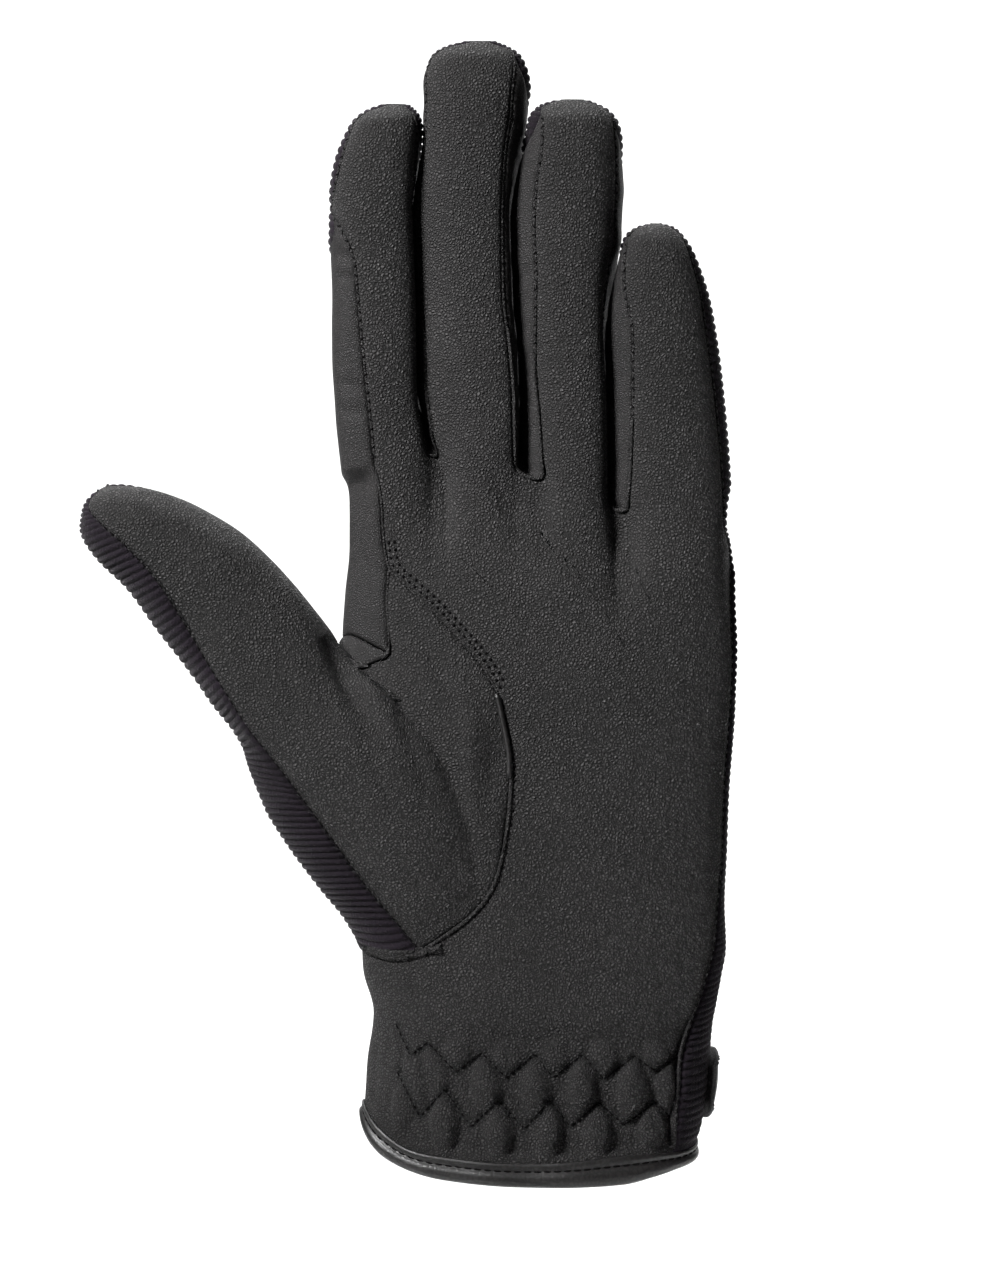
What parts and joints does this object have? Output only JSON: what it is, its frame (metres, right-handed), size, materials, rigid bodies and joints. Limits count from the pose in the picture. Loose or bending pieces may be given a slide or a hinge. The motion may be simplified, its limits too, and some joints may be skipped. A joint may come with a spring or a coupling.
{
  "type": "horse riding glove",
  "caption": "Left-hand riding glove, rounded as worn, with a leather palm and thumb, ribbed stretch cloth back, gathered elastic wrist and bound hem.",
  "frame": {"origin": "middle of the wrist opening, level with the lowest point of the hem", "axes": "+Z towards the fingertips, -Y the palm side that faces the camera in the picture, -X the thumb side"},
  "size_m": [0.1373, 0.0361, 0.2399],
  "materials": {
    "grained_leather": "matt black synthetic leather with a fine pebbled grain",
    "smooth_leather": "smooth soft black leather, slightly brown",
    "piping_leather": "smooth black leather binding with a soft shine",
    "ribbed_cloth": "matt black stretch cloth with fine cross ribs"
  },
  "bodies": {
    "root": {"palm_panel": "grained_leather", "thumb_front": "grained_leather", "thumb_gusset": "grained_leather", "index_side_panel": "smooth_leather", "fourchette_index_middle": "smooth_leather", "fourchette_middle_ring": "smooth_leather", "fourchette_ring_little": "smooth_leather", "closure_tab": "smooth_leather", "hem_binding": "piping_leather", "back_panel": "ribbed_cloth", "thumb_back": "ribbed_cloth"}
  },
  "joints": []
}
